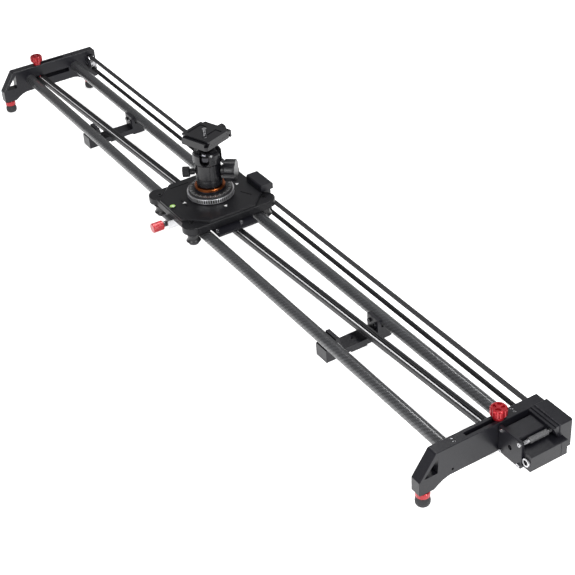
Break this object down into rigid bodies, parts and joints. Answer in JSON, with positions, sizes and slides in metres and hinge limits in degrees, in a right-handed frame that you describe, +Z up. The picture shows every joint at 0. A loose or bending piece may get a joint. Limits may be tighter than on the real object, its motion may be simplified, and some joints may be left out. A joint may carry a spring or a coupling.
{
  "type": "camera slider",
  "caption": "Motorised camera slider: tube rails between end plates, belt-driven carriage with slanted guide rail that pans a turntable, ball head with quick-release clamp, levelling feet.",
  "frame": {"origin": "bottom centre of the whole slider's box, on the plane the feet stand on", "axes": "+X along the rails towards the motor, +Y towards the belt side, +Z up"},
  "size_m": [1.253, 0.1812, 0.1795],
  "materials": {
    "black_anodised": "black anodised, fine satin",
    "black_rail": "black anodised extrusion",
    "carbon_fibre": "woven carbon fibre under clear resin",
    "red_anodised": "red anodised",
    "bright_metal": "machined bright metal",
    "steel": "machined steel",
    "black_steel": "black oxide",
    "roller_plastic": "hard black polymer",
    "belt_rubber": "toothed polyurethane belt",
    "rubber": "moulded rubber",
    "black_case": "black casing",
    "copper_ring": "copper coloured anodised",
    "head_black": "black satin",
    "knob_black": "black grip",
    "ball_metal": "polished ball",
    "level_rim": "black rim",
    "level_fluid": "clear vial with yellow-green fluid"
  },
  "bodies": {
    "frame": {"end_plate_far": "black_anodised", "end_plate_motor": "black_anodised", "grub_screws": "steel", "rail_tube_front": "carbon_fibre", "rail_tube_rear": "carbon_fibre", "guide_rail": "black_rail", "bracket_far": "black_anodised", "bracket_motor": "black_anodised", "bracket_screws": "steel", "belt": "belt_rubber", "idler_fork": "black_anodised", "idler_axle": "steel", "drive_housing": "black_anodised", "unit_screws": "steel", "motor_flange": "black_anodised", "motor_body": "black_case", "motor_plate": "black_anodised", "controller_case": "black_case", "control_socket": "bright_metal"},
    "carriage": {"deck": "black_anodised", "roller_axles": "black_steel", "cross_beam": "black_anodised", "carriage_screws": "steel", "level_ring": "level_rim", "level_glass": "level_fluid", "belt_clamp": "black_anodised", "brake_block": "bright_metal"},
    "turntable": {"pan_gear": "steel", "pan_table": "bright_metal", "pan_dial": "black_anodised", "head_base": "black_anodised", "scale_ring": "copper_ring"},
    "head": {"head_housing": "head_black"},
    "ball_stem": {"ball": "ball_metal"},
    "clamp": {"clamp_base": "head_black"},
    "jaw": {"clamp_jaw": "head_black"},
    "jaw_screw": {"clamp_knob": "knob_black"},
    "quick_plate": {"camera_plate": "head_black"},
    "camera_bolt": {"camera_screw": "steel"},
    "follower_rack": {"follower": "steel"},
    "ball_lock": {"main_knob": "knob_black"},
    "pan_lock": {"pan_knob": "knob_black"},
    "brake": {"brake_knob": "red_anodised"},
    "idler": {"idler_pulley": "bright_metal"},
    "drive": {"drive_pulley": "bright_metal"},
    "thumb_rod": {"thumb_roller": "bright_metal"},
    "guide_lock_far": {"lock_knob_far": "red_anodised"},
    "guide_lock_motor": {"lock_knob_motor": "red_anodised"},
    "roller_front_far": {"roller_front_far": "roller_plastic"},
    "roller_front_motor": {"roller_front_motor": "roller_plastic"},
    "roller_rear_far": {"roller_rear_far": "roller_plastic"},
    "roller_rear_motor": {"roller_rear_motor": "roller_plastic"},
    "foot_far_front": {"foot_far_front": "rubber"},
    "wheel_far_front": {"foot_wheel_far_front": "red_anodised"},
    "foot_far_rear": {"foot_far_rear": "rubber"},
    "wheel_far_rear": {"foot_wheel_far_rear": "red_anodised"},
    "foot_motor_front": {"foot_motor_front": "rubber"},
    "wheel_motor_front": {"foot_wheel_motor_front": "red_anodised"},
    "foot_motor_rear": {"foot_motor_rear": "rubber"},
    "wheel_motor_rear": {"foot_wheel_motor_rear": "red_anodised"}
  },
  "joints": [
    {"name": "carriage_slide", "type": "slide", "parent": "frame", "child": "carriage", "axis": [1, 0, 0], "range_m": [-0.5, 0.515]},
    {"name": "follower_slide", "type": "slide", "parent": "carriage", "child": "follower_rack", "axis": [0, 1, 0], "range_m": [-0.01864, 0.01919]},
    {"name": "pan_turn", "type": "hinge", "parent": "carriage", "child": "turntable", "pos_m": [-0.04002, 0.0061, 0.07015], "axis": [0, 0, 1], "range_deg": [-65.97, 67.92]},
    {"name": "idler_turn", "type": "hinge", "parent": "frame", "child": "idler", "pos_m": [-0.60702, 0.07785, 0.051], "axis": [0, 1, 0], "range_deg": [-2910, 2910]},
    {"name": "drive_turn", "type": "hinge", "parent": "frame", "child": "drive", "pos_m": [0.59498, 0.07785, 0.051], "axis": [0, 1, 0], "range_deg": [-2910, 2910]},
    {"name": "roller_turn_front_far", "type": "hinge", "parent": "carriage", "child": "roller_front_far", "pos_m": [-0.08802, -0.05165, 0.0515], "axis": [0, 0, 1], "range_deg": [-3700, 3700]},
    {"name": "roller_turn_front_motor", "type": "hinge", "parent": "carriage", "child": "roller_front_motor", "pos_m": [0.00798, -0.05165, 0.0515], "axis": [0, 0, 1], "range_deg": [-3700, 3700]},
    {"name": "roller_turn_rear_far", "type": "hinge", "parent": "carriage", "child": "roller_rear_far", "pos_m": [-0.08802, 0.06385, 0.0515], "axis": [0, 0, 1], "range_deg": [-3700, 3700]},
    {"name": "roller_turn_rear_motor", "type": "hinge", "parent": "carriage", "child": "roller_rear_motor", "pos_m": [0.00798, 0.06385, 0.0515], "axis": [0, 0, 1], "range_deg": [-3700, 3700]},
    {"name": "foot_level_far_front", "type": "slide", "parent": "frame", "child": "foot_far_front", "axis": [0, 0, -1], "range_m": [0, 0.008]},
    {"name": "foot_wheel_turn_far_front", "type": "hinge", "parent": "foot_far_front", "child": "wheel_far_front", "pos_m": [-0.61652, -0.07665, 0.01675], "axis": [0, 0, 1], "range_deg": [0, 2880.5]},
    {"name": "foot_level_far_rear", "type": "slide", "parent": "frame", "child": "foot_far_rear", "axis": [0, 0, -1], "range_m": [0, 0.008]},
    {"name": "foot_wheel_turn_far_rear", "type": "hinge", "parent": "foot_far_rear", "child": "wheel_far_rear", "pos_m": [-0.61652, 0.07335, 0.01675], "axis": [0, 0, 1], "range_deg": [0, 2880.5]},
    {"name": "foot_level_motor_front", "type": "slide", "parent": "frame", "child": "foot_motor_front", "axis": [0, 0, -1], "range_m": [0, 0.008]},
    {"name": "foot_wheel_turn_motor_front", "type": "hinge", "parent": "foot_motor_front", "child": "wheel_motor_front", "pos_m": [0.56848, -0.07665, 0.01675], "axis": [0, 0, 1], "range_deg": [0, 2880.5]},
    {"name": "foot_level_motor_rear", "type": "slide", "parent": "frame", "child": "foot_motor_rear", "axis": [0, 0, -1], "range_m": [0, 0.008]},
    {"name": "foot_wheel_turn_motor_rear", "type": "hinge", "parent": "foot_motor_rear", "child": "wheel_motor_rear", "pos_m": [0.56848, 0.07335, 0.01675], "axis": [0, 0, 1], "range_deg": [0, 2880.5]},
    {"name": "brake_turn", "type": "hinge", "parent": "carriage", "child": "brake", "pos_m": [-0.04002, -0.07965, 0.0545], "axis": [0, 1, 0], "range_deg": [-540, 180]},
    {"name": "thumb_rod_turn", "type": "hinge", "parent": "frame", "child": "thumb_rod", "pos_m": [0.60818, 0.04535, 0.061], "axis": [0, 1, 0], "continuous": true},
    {"name": "guide_lock_turn_far", "type": "hinge", "parent": "frame", "child": "guide_lock_far", "pos_m": [-0.61652, -0.01665, 0.0715], "axis": [0, 0, 1], "range_deg": [-30, 720]},
    {"name": "guide_lock_turn_motor", "type": "hinge", "parent": "frame", "child": "guide_lock_motor", "pos_m": [0.56848, 0.02635, 0.0715], "axis": [0, 0, 1], "range_deg": [-30, 720]},
    {"name": "head_pan", "type": "hinge", "parent": "turntable", "child": "head", "pos_m": [-0.04002, 0.0061, 0.0945], "axis": [0, 0, 1], "continuous": true},
    {"name": "ball_lock_turn", "type": "hinge", "parent": "head", "child": "ball_lock", "pos_m": [-0.04002, 0.0061, 0.1155], "axis": [0.6691, 0.7431, 0], "range_deg": [-90, 360]},
    {"name": "pan_lock_turn", "type": "hinge", "parent": "head", "child": "pan_lock", "pos_m": [-0.04002, 0.0061, 0.114], "axis": [-0.5, -0.866, 0], "range_deg": [-90, 720]},
    {"name": "ball_tilt", "type": "hinge", "parent": "head", "child": "ball_stem", "pos_m": [-0.04002, 0.0061, 0.1375], "axis": [0.6428, 0.766, 0], "range_deg": [-25, 90]},
    {"name": "clamp_spin", "type": "hinge", "parent": "ball_stem", "child": "clamp", "pos_m": [-0.04002, 0.0061, 0.1615], "axis": [0, 0, 1], "continuous": true},
    {"name": "jaw_slide", "type": "slide", "parent": "clamp", "child": "jaw", "axis": [-0.342, 0.9397, 0], "range_m": [0, 0.004]},
    {"name": "jaw_screw_turn", "type": "hinge", "parent": "jaw", "child": "jaw_screw", "pos_m": [-0.0496, 0.03241, 0.1641], "axis": [-0.342, 0.9397, 0], "range_deg": [0, 1440.5]},
    {"name": "plate_slide", "type": "slide", "parent": "clamp", "child": "quick_plate", "axis": [0.9397, 0.342, 0], "range_m": [-0.03, 0.03]},
    {"name": "camera_screw_turn", "type": "hinge", "parent": "quick_plate", "child": "camera_bolt", "pos_m": [-0.04002, 0.0061, 0.1745], "axis": [0, 0, 1], "continuous": true}
  ],
  "couplings": [
    {"joint": "follower_slide", "follows": "carriage_slide", "ratio": 0.036287},
    {"joint": "pan_turn", "follows": "carriage_slide", "rad_per_m": 2.2679},
    {"joint": "idler_turn", "follows": "carriage_slide", "rad_per_m": -98.175},
    {"joint": "drive_turn", "follows": "carriage_slide", "rad_per_m": -98.175},
    {"joint": "roller_turn_front_far", "follows": "carriage_slide", "rad_per_m": 125},
    {"joint": "roller_turn_front_motor", "follows": "carriage_slide", "rad_per_m": 125},
    {"joint": "roller_turn_rear_far", "follows": "carriage_slide", "rad_per_m": -125},
    {"joint": "roller_turn_rear_motor", "follows": "carriage_slide", "rad_per_m": -125},
    {"joint": "foot_wheel_turn_far_front", "follows": "foot_level_far_front", "rad_per_m": 6283.2},
    {"joint": "foot_wheel_turn_far_rear", "follows": "foot_level_far_rear", "rad_per_m": 6283.2},
    {"joint": "foot_wheel_turn_motor_front", "follows": "foot_level_motor_front", "rad_per_m": 6283.2},
    {"joint": "foot_wheel_turn_motor_rear", "follows": "foot_level_motor_rear", "rad_per_m": 6283.2},
    {"joint": "jaw_screw_turn", "follows": "jaw_slide", "rad_per_m": 6283.2}
  ]
}
